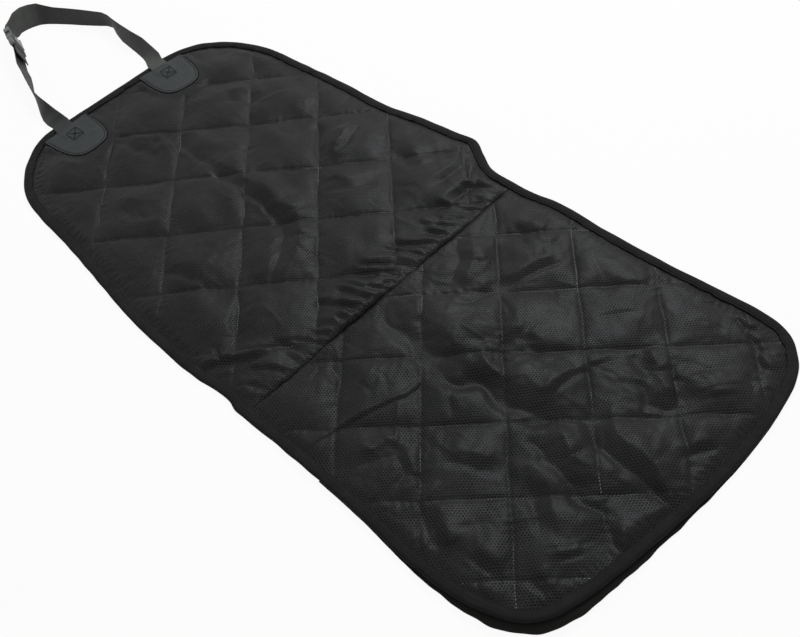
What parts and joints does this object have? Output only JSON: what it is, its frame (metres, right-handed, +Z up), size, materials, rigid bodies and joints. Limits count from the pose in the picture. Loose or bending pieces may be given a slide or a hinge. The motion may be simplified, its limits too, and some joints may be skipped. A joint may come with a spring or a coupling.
{
  "type": "quilted pet car seat cover",
  "caption": "Quilted cloth cover that lies over a front car seat and its backrest for a pet, held by a buckled strap round the headrest.",
  "frame": {"origin": "on the underside, in the middle of the back panel's lower edge, just above the seam to the seat panel", "axes": "+Y from the seam up the back panel to the headrest strap, +Z up from the surface that the cover lies on, +X across"},
  "size_m": [0.5593, 1.4281, 0.0399],
  "materials": {
    "quilted_cloth": "matt woven polyester with a fine honeycomb dot pattern, quilted in diamonds",
    "binding_tape": "matt ribbed tape",
    "skirt_cloth": "matt thin cloth",
    "patch_leather": "fine grained synthetic leather with edge stitching",
    "webbing": "woven nylon webbing",
    "buckle_plastic": "satin moulded plastic"
  },
  "bodies": {
    "root": {"back_panel": "quilted_cloth", "seat_panel": "quilted_cloth", "edge_binding": "binding_tape", "seat_skirt": "skirt_cloth", "patch_left": "patch_leather", "patch_right": "patch_leather", "webbing_long": "webbing", "webbing_short": "webbing", "buckle_socket": "buckle_plastic", "buckle_plug": "buckle_plastic"}
  },
  "joints": []
}
